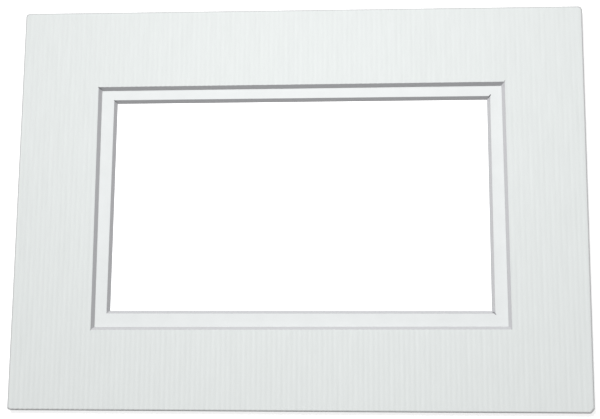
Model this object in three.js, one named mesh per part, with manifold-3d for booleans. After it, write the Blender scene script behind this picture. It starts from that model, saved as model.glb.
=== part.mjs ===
import * as THREE from 'three';
import { mergeVertices } from 'three/addons/utils/BufferGeometryUtils.js';
import Module from 'manifold-3d';

// Double picture mount: a ribbed board with a bevel-cut window, taped over a smooth board
// whose own window is smaller, so that a strip of the smooth board shows all round.
// It lies on its back with its face up. X runs along its length, Y up the picture and
// Z out of its face. The origin is the middle of the back. Sizes are in millimetres.

const mountLength = 177.8;
const mountWidth = 127.0;
const topBoardThickness = 1.0;
const underBoardThickness = 1.0;

// The blade leans, so that each window is wider at the face of its board than at the back.
const bevelAngle = 45;

// The ribbed face. The ribs run up the picture, but the board was trimmed a little askew, so
// they are turned anticlockwise. The first crest is measured from the middle of the left edge.
const ribPitch = 1.552;
const ribRelief = 0.05;
const ribTurn = 0.25;
const firstCrest = 1.27;
const ribSteps = 6;

// Each window is four straight cuts. A cut lies this far in from the edge of the mount,
// measured at the face of the board and at the middle of the cut.
const topBorder = { left: 24.82, right: 24.26, top: 24.73, bottom: 24.7 };

// The strip of the under board that shows: from the cut above it to the cut below it.
const step = { left: 4.8, right: 4.7, top: 4.2, bottom: 5.05 };

// The cuts aren't quite square: each is turned by some tenths of a degree, anticlockwise.
const topTurn = { left: 0.24, right: 0.54, top: 0.2, bottom: 0.16 };
const underTurn = { left: -0.07, right: 0.3, top: 0.12, bottom: 0.03 };

// Corners blunted by handling: how much is lost along each edge, and how full the rest is,
// from 0 for a straight slice to 1 for a round.
const cornerWear = {
  topLeft: { alongX: 1.6, alongY: 1.1, fullness: 1 },
  topRight: { alongX: 1.1, alongY: 1.1, fullness: 0.8 },
  bottomRight: { alongX: 1.05, alongY: 1.2, fullness: 0.15 },
  bottomLeft: { alongX: 1.2, alongY: 0.6, fullness: 0.9 },
};
const cornerSteps = 4;

// The guillotine has rolled the upper arris of the top board: how far in and how far down.
const rollWidth = 0.45;
const rollDepth = 0.3;
const rollSteps = 3;

// Double-sided tape between the boards, in the middle of each border.
const tapeWidth = 12;
const tapeThickness = 0.1;
const tapeEndGap = 1;

// What a cutting solid runs past the board, so that it cuts cleanly through.
const cutMargin = 2;

const ribbedWhite = '#edf0ef';
const smoothWhite = '#f5f9f8';
const tapeWhite = '#e6e2d4';
const boardRoughness = 0.9;
const tapeRoughness = 0.6;

const underFace = underBoardThickness;
const topBack = underFace + tapeThickness;

const wasm = await Module();
wasm.setup();

function toSolid(geometry) {
  const bare = geometry.clone();
  bare.deleteAttribute('normal');
  bare.deleteAttribute('uv');
  const merged = mergeVertices(bare);
  return new wasm.Manifold(new wasm.Mesh({
    numProp: 3,
    vertProperties: new Float32Array(merged.attributes.position.array),
    triVerts: new Uint32Array(merged.index.array),
  }));
}

function toGeometry(solid) {
  const mesh = solid.getMesh();
  const geometry = new THREE.BufferGeometry();
  geometry.setAttribute('position', new THREE.BufferAttribute(mesh.vertProperties, 3));
  geometry.setIndex(new THREE.BufferAttribute(mesh.triVerts, 1));
  const faceted = geometry.toNonIndexed();
  faceted.computeVertexNormals();
  return faceted;
}

function paper(color, roughness) {
  return new THREE.MeshStandardMaterial({ color, roughness, metalness: 0 });
}

// The outline of both boards: a rectangle whose corners are worn.
function boardOutline() {
  const x = mountLength / 2;
  const y = mountWidth / 2;
  const outline = new THREE.Shape();
  const corners = [
    { sx: 1, sy: -1, wear: cornerWear.bottomRight, arrivesAlongX: true },
    { sx: 1, sy: 1, wear: cornerWear.topRight, arrivesAlongX: false },
    { sx: -1, sy: 1, wear: cornerWear.topLeft, arrivesAlongX: true },
    { sx: -1, sy: -1, wear: cornerWear.bottomLeft, arrivesAlongX: false },
  ];
  corners.forEach(({ sx, sy, wear, arrivesAlongX }, i) => {
    const sharp = new THREE.Vector2(sx * x, sy * y);
    const onX = new THREE.Vector2(sx * (x - wear.alongX), sy * y);
    const onY = new THREE.Vector2(sx * x, sy * (y - wear.alongY));
    const from = arrivesAlongX ? onX : onY;
    const to = arrivesAlongX ? onY : onX;
    const pull = from.clone().add(to).multiplyScalar(0.5).lerp(sharp, wear.fullness);
    if (i === 0) outline.moveTo(from.x, from.y);
    else outline.lineTo(from.x, from.y);
    outline.quadraticCurveTo(pull.x, pull.y, to.x, to.y);
  });
  outline.closePath();
  return outline;
}

// A slab of the boards' outline between two heights.
function squareSlab(low, high) {
  const slab = new THREE.ExtrudeGeometry(boardOutline(), {
    depth: high - low,
    bevelEnabled: false,
    curveSegments: cornerSteps,
  });
  return toSolid(slab.translate(0, 0, low));
}

// The same with rolled arrises above and below.
function rolledSlab(low, high) {
  const slab = new THREE.ExtrudeGeometry(boardOutline(), {
    depth: high - low - 2 * rollDepth,
    bevelThickness: rollDepth,
    bevelSize: rollWidth,
    bevelOffset: -rollWidth,
    bevelSegments: rollSteps,
    curveSegments: cornerSteps,
  });
  return toSolid(slab.translate(0, 0, low + rollDepth));
}

// The ribbed sheet that the top board is cut from. Its section is drawn across the ribs and
// drawn out along them, and it is larger than the board on every side.
function ribbedSheet(back, crest) {
  const reach = mountLength / 2 + cutMargin;
  const crestX = firstCrest - mountLength / 2;
  const stepLength = ribPitch / ribSteps;
  const firstStep = Math.ceil((-reach - crestX) / stepLength);
  const lastStep = Math.floor((reach - crestX) / stepLength);
  const ribHeight = (k) => crest - (ribRelief / 2) * (1 - Math.cos((2 * Math.PI * k) / ribSteps));
  const section = new THREE.Shape();
  section.moveTo(crestX + firstStep * stepLength, back);
  section.lineTo(crestX + lastStep * stepLength, back);
  for (let k = lastStep; k >= firstStep; k -= 1) {
    section.lineTo(crestX + k * stepLength, ribHeight(k));
  }
  section.closePath();
  const along = mountWidth + 2 * cutMargin;
  const sheet = new THREE.ExtrudeGeometry(section, { depth: along, bevelEnabled: false });
  sheet.rotateX(Math.PI / 2).translate(0, along / 2, 0);
  return toSolid(sheet.rotateZ(THREE.MathUtils.degToRad(ribTurn)));
}

// One cut of a window, as a point on it and its direction, moved inwards by an inset.
function cutLine(side, border, turn, inset) {
  const angle = THREE.MathUtils.degToRad(turn);
  const upright = side === 'left' || side === 'right';
  const sign = side === 'left' || side === 'bottom' ? -1 : 1;
  const far = (upright ? mountLength : mountWidth) / 2;
  const place = sign * (far - border - inset / Math.cos(angle));
  return {
    point: upright ? new THREE.Vector2(place, 0) : new THREE.Vector2(0, place),
    along: upright
      ? new THREE.Vector2(-Math.sin(angle), Math.cos(angle))
      : new THREE.Vector2(Math.cos(angle), Math.sin(angle)),
  };
}

function meeting(a, b) {
  const between = b.point.clone().sub(a.point);
  const reach = between.cross(b.along) / a.along.cross(b.along);
  return a.point.clone().addScaledVector(a.along, reach);
}

// The four corners where the cuts meet, anticlockwise from the bottom left.
function windowCorners(border, turn, inset) {
  const cut = {};
  for (const side of ['left', 'right', 'top', 'bottom']) {
    cut[side] = cutLine(side, border[side], turn[side], inset);
  }
  return [
    meeting(cut.left, cut.bottom),
    meeting(cut.right, cut.bottom),
    meeting(cut.right, cut.top),
    meeting(cut.left, cut.top),
  ];
}

// The solid that a window takes out of its board: it narrows from the face to the back at
// the bevel's angle, and runs past both.
function windowCutter(border, turn, back, face) {
  const run = 1 / Math.tan(THREE.MathUtils.degToRad(bevelAngle));
  const low = back - cutMargin;
  const high = face + cutMargin;
  const lower = windowCorners(border, turn, (face - low) * run);
  const upper = windowCorners(border, turn, (face - high) * run);
  const positions = [
    ...lower.flatMap((p) => [p.x, p.y, low]),
    ...upper.flatMap((p) => [p.x, p.y, high]),
  ];
  const faces = [0, 2, 1, 0, 3, 2, 4, 5, 6, 4, 6, 7];
  for (let i = 0; i < 4; i += 1) {
    const next = (i + 1) % 4;
    faces.push(i, next, 4 + next, i, 4 + next, 4 + i);
  }
  const cutter = new THREE.BufferGeometry();
  cutter.setAttribute('position', new THREE.Float32BufferAttribute(positions, 3));
  cutter.setIndex(faces);
  return toSolid(cutter);
}

// The under board: smooth, with the smaller window.
function underBoard() {
  const border = {};
  for (const side of Object.keys(step)) border[side] = topBorder[side] + step[side];
  const board = squareSlab(0, underFace)
    .subtract(windowCutter(border, underTurn, 0, underFace));
  const mesh = new THREE.Mesh(toGeometry(board), paper(smoothWhite, boardRoughness));
  mesh.name = 'under_board';
  return mesh;
}

// The top board: ribbed on its face, with the larger window and a rolled outer arris. The
// rolled slab reaches below the sheet, so only its upper arris shapes the board.
function topBoard() {
  const crest = topBack + topBoardThickness;
  const board = ribbedSheet(topBack, crest)
    .intersect(rolledSlab(topBack - cutMargin, crest))
    .subtract(windowCutter(topBorder, topTurn, topBack, crest));
  const mesh = new THREE.Mesh(toGeometry(board), paper(ribbedWhite, boardRoughness));
  mesh.name = 'top_board';
  return mesh;
}

// One strip of tape between the boards, placed by its middle.
function tapeStrip(name, x, y, lengthX, lengthY) {
  const strip = new THREE.BoxGeometry(lengthX, lengthY, tapeThickness);
  const mesh = new THREE.Mesh(strip, paper(tapeWhite, tapeRoughness));
  mesh.position.set(x, y, underFace + tapeThickness / 2);
  mesh.name = name;
  return mesh;
}

// The upper and lower strips run the whole length, and the side strips fit between them.
function tapes() {
  const bevelRun = topBoardThickness / Math.tan(THREE.MathUtils.degToRad(bevelAngle));
  const middle = {};
  for (const side of Object.keys(topBorder)) middle[side] = (topBorder[side] + bevelRun) / 2;
  const xLeft = middle.left - mountLength / 2;
  const xRight = mountLength / 2 - middle.right;
  const yBottom = middle.bottom - mountWidth / 2;
  const yTop = mountWidth / 2 - middle.top;
  const acrossX = xRight - xLeft + tapeWidth;
  const acrossY = yTop - yBottom - tapeWidth - 2 * tapeEndGap;
  return [
    tapeStrip('tape_top', (xLeft + xRight) / 2, yTop, acrossX, tapeWidth),
    tapeStrip('tape_bottom', (xLeft + xRight) / 2, yBottom, acrossX, tapeWidth),
    tapeStrip('tape_left', xLeft, (yTop + yBottom) / 2, tapeWidth, acrossY),
    tapeStrip('tape_right', xRight, (yTop + yBottom) / 2, tapeWidth, acrossY),
  ];
}

const mount = new THREE.Group();
mount.add(underBoard(), ...tapes(), topBoard());

export default mount;
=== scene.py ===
# A double picture mount: a ribbed board with a bevel-cut window over a smooth board with a
# smaller one. It lies face up on a pale table and is seen from above its lower edge.
import math

import bmesh
import bpy
from mathutils import Matrix, Vector


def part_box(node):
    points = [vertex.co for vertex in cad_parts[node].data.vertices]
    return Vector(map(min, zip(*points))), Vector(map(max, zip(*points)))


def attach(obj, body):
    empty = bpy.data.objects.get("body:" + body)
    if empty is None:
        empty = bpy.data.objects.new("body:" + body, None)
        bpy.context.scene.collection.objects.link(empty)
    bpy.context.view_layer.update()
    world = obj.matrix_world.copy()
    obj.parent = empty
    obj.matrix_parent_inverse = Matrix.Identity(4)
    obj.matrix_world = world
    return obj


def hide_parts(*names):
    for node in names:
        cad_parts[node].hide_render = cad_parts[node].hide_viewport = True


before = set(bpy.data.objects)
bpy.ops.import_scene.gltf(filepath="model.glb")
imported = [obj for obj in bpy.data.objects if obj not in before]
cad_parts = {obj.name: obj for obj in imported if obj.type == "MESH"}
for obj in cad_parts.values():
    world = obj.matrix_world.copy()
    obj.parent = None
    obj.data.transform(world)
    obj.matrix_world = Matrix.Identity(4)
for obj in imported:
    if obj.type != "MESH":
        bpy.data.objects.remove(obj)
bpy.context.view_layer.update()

# The boards are shaped in millimetres, and each finished mesh is brought to metres.
MM = 0.001
BODY = "root"

# Where the two boards lie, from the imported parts. Both are centred on the Z axis.
TOP_LOW, TOP_HIGH = (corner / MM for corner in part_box("top_board"))
UNDER_LOW, UNDER_HIGH = (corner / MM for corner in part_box("under_board"))
HALF_X = TOP_HIGH.x
HALF_Y = TOP_HIGH.y

# The ribs of the face. Their pitch, turn and first crest are the solid's: turned a little,
# anticlockwise, with the first crest measured from the middle of the left edge.
RIB_PITCH = 1.552
RIB_TURN = 0.25
FIRST_CREST = 1.27
# How deep the embossing is in the middle of the board. It is deeper towards the bottom and
# the left, and uneven from rib to rib and along each rib, by these shares of that depth.
RIB_RELIEF = 0.04
RELIEF_DOWN = 0.2
RELIEF_LEFT = 0.4
RIB_UNEVEN = 0.3
# How far the unevenness runs along a rib before it has turned by one radian. It is turned by
# the golden angle from one rib to the next, so that it doesn't repeat.
RIB_WAVE = 8
GOLDEN_ANGLE = math.pi * (3 - math.sqrt(5))
# The faces across each rib and along the whole of it.
RIB_STEPS = 12
RIB_ROWS = 16

# The faces along and up the smooth board.
SMOOTH_FACES = (12, 8)

# The windows, as in the solids: how far in each cut lies at the face, and how many degrees
# it is out of square, anticlockwise. The blade leans by the bevel's angle.
BEVEL_ANGLE = 45
TOP_BORDER = {"left": 24.82, "right": 24.26, "top": 24.73, "bottom": 24.7}
TOP_TURN = {"left": 0.24, "right": 0.54, "top": 0.2, "bottom": 0.16}
# The strip of the under board that shows, from the cut above it to the cut below it.
STEP = {"left": 4.8, "right": 4.7, "top": 4.2, "bottom": 5.05}
UNDER_TURN = {"left": -0.07, "right": 0.3, "top": 0.12, "bottom": 0.03}
# From each cut towards the middle of the window.
INWARD = {"left": (1, 0), "right": (-1, 0), "top": (0, -1), "bottom": (0, 1)}

# Corners blunted by handling: what is lost along each edge, and how full the rest is.
CORNER_WEAR = {
    (-1, 1): (1.6, 1.1, 1.0),
    (1, 1): (1.1, 1.1, 0.8),
    (1, -1): (1.05, 1.2, 0.15),
    (-1, -1): (1.2, 0.6, 0.9),
}
CORNER_STEPS = 5

# Marks of the knife at the corners of the windows, where it ran past the cut or opened the
# mitre. Each is a lens-shaped nick: which corner, then its two ends, measured from where that
# corner lies in the face, and its width and depth.
TOP_NICKS = [
    ((-1, 1), (-0.15, 0.05, 0.05), (1.1, -0.85, -0.85), 0.4, 0.5),
    ((1, 1), (-0.2, -0.2, 0), (0.12, 0.55, 0), 0.2, 0.3),
    ((-1, -1), (0.2, 0, 0), (-0.25, -0.02, 0), 0.15, 0.2),
]
UNDER_NICKS = [
    ((-1, 1), (-0.1, 0.05, 0.05), (1.15, -0.95, -0.85), 0.4, 0.5),
    ((1, 1), (-0.7, -0.7, -0.5), (0.25, 0.55, 0), 0.45, 0.6),
    ((1, -1), (-0.85, 0.68, -0.75), (0.28, -0.36, 0.05), 0.5, 0.6),
]
# A dent in the left edge, above the lower corner: its ends in the board, width and depth.
EDGE_DENT = (Vector((-88.98, -61.2, 2.0)), Vector((-88.8, -62.4, 2.0)), 0.6, 0.25)

# How far in and how far down the guillotine has rolled a board's upper arris.
TOP_ROLL = Vector((0.45, 0.3))
UNDER_ROLL = Vector((0.06, 0.05))
ROLL_STEPS = 5
# The lower arris is only just blunt.
LOWER_ARRIS = 0.04

# How far a sheet runs past the outline that it is trimmed to.
TRIM = 1.5
# Points closer to a cut than this lie on it, and points this close are one.
ON_CUT = 1e-4
MERGED = 1e-3

# Places in a board's list of materials, after the facing.
CORE = 1
BACKING = 2
# The rolled upper arris is painted a darker grey than the face.
GREY_ARRIS = 3

# Grain sizes and heights. Real pulp fibres are about 0.03 mm thick, too fine to show, so they
# are drawn several times coarser.
FIBRE = 0.25
CUT_FIBRE = 0.5
CORE_FUZZ = 0.12
CORE_FUZZ_HEIGHT = 0.02
# How many times longer along the board than through it the cut fibres look.
FIBRES_LIE = 5


def linear(hex_colour):
    """The linear colour of an sRGB hex value."""
    channels = [int(hex_colour[i:i + 2], 16) / 255 for i in (1, 3, 5)]
    return [c / 12.92 if c <= 0.04045 else ((c + 0.055) / 1.055) ** 2.4 for c in channels] + [1]


def add(tree, kind, links=None, values=None, **settings):
    """Adds a node: settings are its properties, values its own sockets, links what feeds them."""
    made = tree.nodes.new(kind)
    for name, value in settings.items():
        setattr(made, name, value)
    for socket, value in (values or {}).items():
        made.inputs[socket].default_value = value
    for socket, source in (links or {}).items():
        tree.links.new(source, made.inputs[socket])
    return made


def new_material(name):
    """An empty material and its node tree."""
    material = bpy.data.materials.new(name)
    material.use_nodes = True
    material.node_tree.nodes.clear()
    return material, material.node_tree


def facing_paper(name, tone, shade, grain, tooth, drawn=1, rough=0.92):
    """Uncoated paper, dyed in the pulp and calendered. It looks dead matt unless rough is
    lower, with soft clouds of tone where the pulp lies thicker and a faint tooth of fibres.
    grain is the size of the clouds in millimetres, tooth the height of the fibres, and drawn
    how many times longer the clouds are up the board than across."""
    material, tree = new_material(name)
    place = add(tree, "ShaderNodeTexCoord").outputs["Object"]
    along = add(tree, "ShaderNodeMapping", {"Vector": place}, {"Scale": (1, 1 / drawn, 1)})
    clouds = add(tree, "ShaderNodeTexNoise", {"Vector": along.outputs["Vector"]},
                 {"Scale": 1 / (grain * MM), "Detail": 5, "Roughness": 0.65})
    tones = add(tree, "ShaderNodeValToRGB", {"Fac": clouds.outputs["Fac"]})
    tones.color_ramp.elements[0].position = 0.3
    tones.color_ramp.elements[0].color = linear(shade)
    tones.color_ramp.elements[1].position = 0.7
    tones.color_ramp.elements[1].color = linear(tone)
    fibres = add(tree, "ShaderNodeTexNoise", {"Vector": place},
                 {"Scale": 1 / (FIBRE * MM), "Detail": 3, "Roughness": 0.6})
    relief = add(tree, "ShaderNodeBump", {"Height": fibres.outputs["Fac"]},
                 {"Strength": 1.0, "Distance": tooth * MM})
    shader = add(tree, "ShaderNodeBsdfPrincipled",
                 {"Base Color": tones.outputs["Color"], "Normal": relief.outputs["Normal"]},
                 {"Roughness": rough, "IOR": 1.47, "Specular IOR Level": 0.25})
    add(tree, "ShaderNodeOutputMaterial", {"Surface": shader.outputs["BSDF"]})
    return material


def board_core(name, tone, shade):
    """The pulp core where a blade has opened it. It looks greyer and softer than the facing,
    with cut fibres that lie along the board."""
    material, tree = new_material(name)
    place = add(tree, "ShaderNodeTexCoord").outputs["Object"]
    lying = add(tree, "ShaderNodeMapping", {"Vector": place}, {"Scale": (1, 1, FIBRES_LIE)})
    fibres = add(tree, "ShaderNodeTexNoise", {"Vector": lying.outputs["Vector"]},
                 {"Scale": 1 / (CUT_FIBRE * MM), "Detail": 6, "Roughness": 0.7})
    tones = add(tree, "ShaderNodeValToRGB", {"Fac": fibres.outputs["Fac"]})
    tones.color_ramp.elements[0].position = 0.25
    tones.color_ramp.elements[0].color = linear(shade)
    tones.color_ramp.elements[1].position = 0.75
    tones.color_ramp.elements[1].color = linear(tone)
    fuzz = add(tree, "ShaderNodeTexNoise", {"Vector": place},
               {"Scale": 1 / (CORE_FUZZ * MM), "Detail": 2})
    relief = add(tree, "ShaderNodeBump", {"Height": fuzz.outputs["Fac"]},
                 {"Strength": 1.0, "Distance": CORE_FUZZ_HEIGHT * MM})
    shader = add(tree, "ShaderNodeBsdfPrincipled",
                 {"Base Color": tones.outputs["Color"], "Normal": relief.outputs["Normal"]},
                 {"Roughness": 0.95, "IOR": 1.47, "Specular IOR Level": 0.2})
    add(tree, "ShaderNodeOutputMaterial", {"Surface": shader.outputs["BSDF"]})
    return material


def rib_height(x, y, crest):
    """The height of the ribbed face at a place, before the ribs are turned."""
    rib = (x + HALF_X - FIRST_CREST) / RIB_PITCH
    uneven = math.sin(math.floor(rib) * GOLDEN_ANGLE + y / RIB_WAVE)
    relief = RIB_RELIEF * (1 - RELIEF_DOWN * y / HALF_Y - RELIEF_LEFT * x / HALF_X
                           + RIB_UNEVEN * uneven)
    return crest - relief / 2 * (1 - math.cos(2 * math.pi * rib))


def ribbed_sheet(crest):
    """The ribbed face before it is trimmed: long narrow faces side by side."""
    step = RIB_PITCH / RIB_STEPS
    before = math.ceil((FIRST_CREST + TRIM) / step)
    columns = before + math.ceil((2 * HALF_X - FIRST_CREST + TRIM) / step)
    left = FIRST_CREST - HALF_X - before * step
    sheet = bmesh.new()
    bmesh.ops.create_grid(sheet, x_segments=columns, y_segments=RIB_ROWS, size=0.5)
    bmesh.ops.scale(sheet, vec=(columns * step, 2 * (HALF_Y + TRIM), 1), verts=sheet.verts)
    bmesh.ops.translate(sheet, vec=(left + columns * step / 2, 0, 0), verts=sheet.verts)
    for vert in sheet.verts:
        vert.co.z = rib_height(vert.co.x, vert.co.y, crest)
    turn = Matrix.Rotation(math.radians(RIB_TURN), 3, "Z")
    bmesh.ops.rotate(sheet, cent=(0, 0, 0), matrix=turn, verts=sheet.verts)
    return sheet


def smooth_sheet(face):
    """The smooth face before it is trimmed."""
    sheet = bmesh.new()
    along, up = SMOOTH_FACES
    bmesh.ops.create_grid(sheet, x_segments=along, y_segments=up, size=0.5)
    size = (2 * (HALF_X + TRIM), 2 * (HALF_Y + TRIM), 1)
    bmesh.ops.scale(sheet, vec=size, verts=sheet.verts)
    bmesh.ops.translate(sheet, vec=(0, 0, face), verts=sheet.verts)
    return sheet


def slice_sheet(sheet, point, normal, clear=False):
    """Cuts the sheet along a plane, and may clear the side that the normal points to."""
    bmesh.ops.bisect_plane(sheet, geom=[*sheet.verts, *sheet.edges, *sheet.faces],
                           dist=ON_CUT / 2, plane_co=point, plane_no=normal,
                           clear_outer=clear)


def trim_outline(sheet, half_x, half_y):
    """Trims the sheet to the boards' outline, a rectangle with worn corners."""
    for sign in (-1, 1):
        slice_sheet(sheet, (sign * half_x, 0, 0), (sign, 0, 0), clear=True)
        slice_sheet(sheet, (0, sign * half_y, 0), (0, sign, 0), clear=True)
    for (sx, sy), (along_x, along_y, fullness) in CORNER_WEAR.items():
        sharp = Vector((sx * half_x, sy * half_y, 0))
        start = sharp - Vector((sx * along_x, 0, 0))
        end = sharp - Vector((0, sy * along_y, 0))
        pull = ((start + end) / 2).lerp(sharp, fullness)
        curve = [(1 - t) ** 2 * start + 2 * t * (1 - t) * pull + t ** 2 * end
                 for t in (k / CORNER_STEPS for k in range(CORNER_STEPS + 1))]
        for near, far in zip(curve, curve[1:]):
            along = far - near
            outward = Vector((abs(along.y) * sx, abs(along.x) * sy, 0)).normalized()
            slice_sheet(sheet, near, outward, clear=True)


def bevel_planes(border, turn, face):
    """The planes of a window's four cuts: a point, and the normal that points out of the
    board."""
    lean = math.radians(BEVEL_ANGLE)
    planes = {}
    for side, inward in INWARD.items():
        square = Vector((*inward, 0))
        level = Matrix.Rotation(math.radians(turn[side]), 3, "Z") @ square
        reach = HALF_X if square.x else HALF_Y
        point = -square * (reach - border[side]) + Vector((0, 0, face))
        planes[side] = (point, level * math.sin(lean) + Vector((0, 0, math.cos(lean))))
    return planes


def inside(point, planes):
    """Whether a point lies in the window."""
    return all((point - at).dot(normal) > 0 for at, normal in planes.values())


def window_corner(planes, sign, height):
    """Where two cuts meet at a height."""
    a, na = planes["right" if sign[0] > 0 else "left"]
    b, nb = planes["top" if sign[1] > 0 else "bottom"]
    along = na.cross(nb)
    rows = Matrix((na, nb, along))
    start = rows.inverted() @ Vector((na.dot(a), nb.dot(b), 0))
    return start + along * ((height - start.z) / along.z)


def on_cut(vert, plane):
    """Whether a vertex lies on one of the cuts."""
    at, normal = plane
    return abs((vert.co - at).dot(normal)) < ON_CUT


def open_window(shell, planes):
    """Cuts the window out of a closed board along its four cuts. Each pair of cuts is joined
    by the edge of its mitre, and each cut filled with its bevel."""
    for at, normal in planes.values():
        slice_sheet(shell, at, normal)
    gone = [face for face in shell.faces if inside(face.calc_center_median(), planes)]
    bmesh.ops.delete(shell, geom=gone, context="FACES")
    rim = [vert for vert in shell.verts if vert.is_boundary]
    for upright in ("left", "right"):
        for level in ("top", "bottom"):
            mitre = [vert for vert in rim
                     if on_cut(vert, planes[upright]) and on_cut(vert, planes[level])]
            bmesh.ops.contextual_create(shell, geom=mitre)
    for plane in planes.values():
        loop = [edge for edge in shell.edges
                if len(edge.link_faces) < 2 and all(on_cut(vert, plane) for vert in edge.verts)]
        bmesh.ops.edgeloop_fill(shell, edges=loop, mat_nr=CORE)


def extrude_rim(sheet, edges, material):
    """Extrudes rim edges in place, and gives the new verts and the new rim."""
    made = bmesh.ops.extrude_edge_only(sheet, edges=edges)["geom"]
    for new in made:
        if isinstance(new, bmesh.types.BMFace):
            new.material_index = material
    verts = [new for new in made if isinstance(new, bmesh.types.BMVert)]
    rim = [new for new in made if isinstance(new, bmesh.types.BMEdge) and new.is_boundary]
    return verts, rim


def close_board(sheet, roll, back):
    """Makes a trimmed sheet a closed board, with a rolled upper arris, sides, a blunt lower
    arris and a back."""
    rim = [edge for edge in sheet.edges if edge.is_boundary]
    out, down = 0.0, 0.0
    for k in range(1, ROLL_STEPS + 1):
        angle = math.pi / 2 * k / ROLL_STEPS
        wider = roll.x * math.sin(angle) - out
        lower = roll.y * (1 - math.cos(angle)) - down
        verts, rim = extrude_rim(sheet, rim, GREY_ARRIS)
        spread = (1 + wider / (HALF_X - roll.x + out), 1 + wider / (HALF_Y - roll.x + out), 1)
        bmesh.ops.scale(sheet, vec=spread, verts=verts)
        bmesh.ops.translate(sheet, vec=(0, 0, -lower), verts=verts)
        out, down = out + wider, down + lower
    verts, rim = extrude_rim(sheet, rim, CORE)
    for vert in verts:
        vert.co.z = back + LOWER_ARRIS
    verts, rim = extrude_rim(sheet, rim, CORE)
    narrower = (1 - LOWER_ARRIS / HALF_X, 1 - LOWER_ARRIS / HALF_Y, 1)
    bmesh.ops.scale(sheet, vec=narrower, verts=verts)
    bmesh.ops.translate(sheet, vec=(0, 0, -LOWER_ARRIS), verts=verts)
    bmesh.ops.edgeloop_fill(sheet, edges=rim, mat_nr=BACKING)


def merge_points(mesh, distance):
    """Merges points that lie this close together. They are first sorted by their places, so
    that the same ones are kept each time."""
    ranked = sorted(mesh.verts, key=lambda vert: tuple(vert.co))
    rank = {vert: place for place, vert in enumerate(ranked)}
    mesh.verts.sort(key=rank.get)
    bmesh.ops.remove_doubles(mesh, verts=mesh.verts, dist=distance)


def make_board(name, sheet, planes, roll, back, nicks, facing, stands_for):
    """Makes a board of its trimmed face, opens its window, nicks it, and makes it a piece."""
    close_board(sheet, roll, back)
    open_window(sheet, planes)
    merge_points(sheet, MERGED)
    bmesh.ops.recalc_face_normals(sheet, faces=sheet.faces)
    materials = [facing, core, backing, grey_arris]
    piece = new_object(name, sheet, materials)
    cut_nicks(piece, nicks, materials)
    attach(piece, BODY)
    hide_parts(stands_for)


def new_object(name, sheet, materials):
    """Makes an object of a finished shape, which it brings from millimetres to metres."""
    bmesh.ops.scale(sheet, vec=(MM, MM, MM), verts=sheet.verts)
    mesh = bpy.data.meshes.new(name)
    sheet.to_mesh(mesh)
    sheet.free()
    for material in materials:
        mesh.materials.append(material)
    made = bpy.data.objects.new(name, mesh)
    bpy.context.scene.collection.objects.link(made)
    return made


def cut_nicks(piece, nicks, materials):
    """Cuts lens-shaped nicks out of a piece, and merges what the cut leaves double."""
    lenses = bmesh.new()
    for start, end, width, depth in nicks:
        lens = bmesh.ops.create_icosphere(lenses, subdivisions=2, radius=0.5)["verts"]
        bmesh.ops.scale(lenses, vec=(width, 2 * depth, (end - start).length), verts=lens)
        turn = (end - start).to_track_quat("Z", "Y").to_matrix()
        bmesh.ops.rotate(lenses, cent=(0, 0, 0), matrix=turn, verts=lens)
        bmesh.ops.translate(lenses, vec=(start + end) / 2, verts=lens)
    for face in lenses.faces:
        face.material_index = CORE
    cutter = new_object(piece.name + "_nicks", lenses, materials)
    cutting = piece.modifiers.new("nicks", "BOOLEAN")
    cutting.object = cutter
    cutting.solver = "EXACT"
    nicked = bmesh.new()
    nicked.from_object(piece, bpy.context.evaluated_depsgraph_get())
    merge_points(nicked, MERGED * MM)
    bmesh.ops.dissolve_degenerate(nicked, edges=nicked.edges, dist=MERGED * MM)
    piece.modifiers.clear()
    nicked.to_mesh(piece.data)
    nicked.free()
    bpy.data.objects.remove(cutter)


def window_nicks(planes, face, marks):
    """Places a window's nicks, which are measured from its corners."""
    placed = []
    for sign, start, end, width, depth in marks:
        corner = window_corner(planes, sign, face)
        placed.append((corner + Vector(start), corner + Vector(end), width, depth))
    return placed


# What the boards share: the core, the paper on the back, and the facing of the rolled arris,
# which is painted a darker grey than the face.
core = board_core("opened_pulp_core", "#cacacc", "#babbbe")
backing = facing_paper("backing_paper", "#e9e8e3", "#e2e0da", 6, 0.01)
grey_arris = facing_paper("grey_arris_paper", "#d2d3d3", "#cacccc", 2, 0.02)


def make_top_board():
    """The ribbed board, with the nicks of its window and the dent in its edge."""
    face = TOP_HIGH.z
    planes = bevel_planes(TOP_BORDER, TOP_TURN, face)
    sheet = ribbed_sheet(face)
    trim_outline(sheet, HALF_X - TOP_ROLL.x, HALF_Y - TOP_ROLL.x)
    ribbed = facing_paper("ribbed_facing_paper", "#eaeeed", "#e6eae9", 1.5, 0.012, 8)
    nicks = window_nicks(planes, face, TOP_NICKS) + [EDGE_DENT]
    make_board("ribbed_board", sheet, planes, TOP_ROLL, TOP_LOW.z, nicks, ribbed,
               "top_board")


def make_under_board():
    """The smooth board, whose window is smaller by the strip that shows."""
    face = UNDER_HIGH.z
    border = {side: TOP_BORDER[side] + STEP[side] for side in STEP}
    planes = bevel_planes(border, UNDER_TURN, face)
    sheet = smooth_sheet(face)
    trim_outline(sheet, HALF_X - UNDER_ROLL.x, HALF_Y - UNDER_ROLL.x)
    smooth = facing_paper("smooth_facing_paper", "#eff2f2", "#ebeeee", 7, 0.008)
    nicks = window_nicks(planes, face, UNDER_NICKS)
    make_board("smooth_board", sheet, planes, UNDER_ROLL, UNDER_LOW.z, nicks, smooth,
               "under_board")


def dress_tapes():
    """Tissue tape with acrylic adhesive: off-white, and glossier than the boards."""
    tape = facing_paper("tissue_tape", "#e6e2d4", "#dedac9", 2, 0.01, rough=0.6)
    for node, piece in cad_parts.items():
        if node.startswith("tape_"):
            piece.data.materials.clear()
            piece.data.materials.append(tape)


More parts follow.
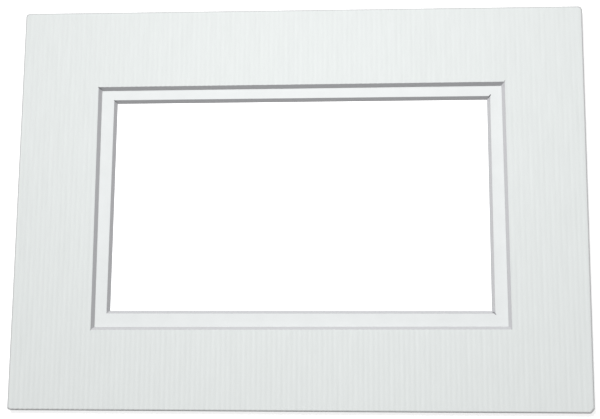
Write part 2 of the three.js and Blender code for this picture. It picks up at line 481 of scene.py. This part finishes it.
# The camera stands over the lower edge of the mount, a little to the right. Its roll is in
# degrees, and its lens and sensor are in millimetres, as in any camera.
CAMERA_PLACE = Vector((28.58, -81.01, 413.99)) * MM
CAMERA_AIM = Vector((0.34, -1.07, 0)) * MM
CAMERA_ROLL = -0.51
CAMERA_LENS = 81.35
CAMERA_SENSOR = 36


def make_camera():
    """A long lens that looks down on the mount."""
    camera = bpy.data.objects.new("camera", bpy.data.cameras.new("camera"))
    forward = (CAMERA_AIM - CAMERA_PLACE).normalized()
    right = forward.cross(Vector((0, 1, 0))).normalized()
    up = right.cross(forward)
    turn = Matrix((right, up, -forward)).transposed().to_4x4()
    roll = Matrix.Rotation(math.radians(-CAMERA_ROLL), 4, "Z")
    camera.matrix_world = Matrix.Translation(CAMERA_PLACE) @ turn @ roll
    camera.data.lens = CAMERA_LENS
    camera.data.sensor_width = CAMERA_SENSOR
    camera.data.clip_start = 0.01
    camera.data.clip_end = 20
    bpy.context.scene.collection.objects.link(camera)
    bpy.context.scene.camera = camera


# The table: half its length and the tone of its paint. Rays from the camera see it shine a
# little too, by this much within the first distance of the mount and by the second beyond.
TABLE_HALF = 3
TABLE_PAINT = "#e8e8e8"
TABLE_GAP = 0.01
SHINE = (0.74, 1.0)
SHINE_REACH = (0.2, 0.9)


def make_floor():
    """A table painted matt white. Unshadowed it reads as plain white, and it keeps the
    mount's shadow."""
    material, tree = new_material("white_table")
    place = add(tree, "ShaderNodeTexCoord").outputs["Object"]
    away = add(tree, "ShaderNodeVectorMath", {0: place}, operation="LENGTH").outputs["Value"]
    lift = add(tree, "ShaderNodeMapRange", {"Value": away},
               {"From Min": SHINE_REACH[0], "From Max": SHINE_REACH[1],
                "To Min": SHINE[0], "To Max": SHINE[1]})
    path = add(tree, "ShaderNodeLightPath")
    direct = add(tree, "ShaderNodeMath",
                 {0: path.outputs["Is Camera Ray"], 1: path.outputs["Is Glossy Ray"]},
                 operation="MAXIMUM")
    seen = add(tree, "ShaderNodeMath",
               {0: direct.outputs[0], 1: path.outputs["Is Transmission Ray"]},
               operation="MAXIMUM")
    level = add(tree, "ShaderNodeMath", {0: seen.outputs[0], 1: lift.outputs["Result"]},
                operation="MULTIPLY")
    shine = add(tree, "ShaderNodeEmission", {"Strength": level.outputs[0]},
                {"Color": (1, 1, 1, 1)})
    matt = add(tree, "ShaderNodeBsdfDiffuse", values={"Color": linear(TABLE_PAINT)})
    both = add(tree, "ShaderNodeAddShader", {0: matt.outputs[0], 1: shine.outputs[0]})
    add(tree, "ShaderNodeOutputMaterial", {"Surface": both.outputs[0]})
    top = bmesh.new()
    bmesh.ops.create_grid(top, x_segments=1, y_segments=1, size=TABLE_HALF)
    bmesh.ops.translate(top, vec=(0, 0, (UNDER_LOW.z - TABLE_GAP) * MM), verts=top.verts)
    mesh = bpy.data.meshes.new("table")
    top.to_mesh(mesh)
    top.free()
    mesh.materials.append(material)
    floor = bpy.data.objects.new("table", mesh)
    bpy.context.scene.collection.objects.link(floor)


# The light: a soft lamp close above the upper half of the mount, so that the light falls off
# towards the bottom and the sides, a slanting one from the upper left, and a pale sky. The
# levels are what each gives a white sheet that lies flat right below the lamp, and add up to
# about 1.
LAMP_PLACE = Vector((0, 60, 252)) * MM
LAMP_LEVEL = 0.395
LAMP_SIZE = 0.06
KEY_LEVEL = 0.46
KEY_TOWARDS = (-0.51, 0.88, 1.0)
KEY_SPREAD = 8
SKY_LEVEL = 0.205


def make_light():
    """The two lamps and the sky."""
    lamp = bpy.data.lights.new("close_lamp", "AREA")
    lamp.shape = "DISK"
    lamp.size = LAMP_SIZE
    # A lamp that shines by the cosine law gives this level right below it.
    lamp.energy = LAMP_LEVEL * math.pi ** 2 * (LAMP_PLACE.z - TOP_HIGH.z * MM) ** 2
    overhead = bpy.data.objects.new("close_lamp", lamp)
    overhead.location = LAMP_PLACE
    overhead.visible_camera = False
    bpy.context.scene.collection.objects.link(overhead)

    towards = Vector(KEY_TOWARDS).normalized()
    key = bpy.data.lights.new("slanting_light", "SUN")
    key.angle = math.radians(KEY_SPREAD)
    key.energy = KEY_LEVEL * math.pi / towards.z
    slanting = bpy.data.objects.new("slanting_light", key)
    slanting.rotation_mode = "QUATERNION"
    slanting.rotation_quaternion = towards.to_track_quat("Z", "Y")
    bpy.context.scene.collection.objects.link(slanting)

    world = bpy.data.worlds.new("studio")
    world.use_nodes = True
    tree = world.node_tree
    tree.nodes.clear()
    path = add(tree, "ShaderNodeLightPath")
    level = add(tree, "ShaderNodeMapRange", {"Value": path.outputs["Is Camera Ray"]},
                {"To Min": SKY_LEVEL, "To Max": 1})
    sky = add(tree, "ShaderNodeBackground", {"Strength": level.outputs["Result"]},
              {"Color": (1, 1, 1, 1)})
    add(tree, "ShaderNodeOutputWorld", {"Surface": sky.outputs[0]})
    bpy.context.scene.world = world


make_top_board()
make_under_board()
dress_tapes()
make_camera()
make_floor()
make_light()
bpy.context.scene.view_settings.view_transform = "Standard"
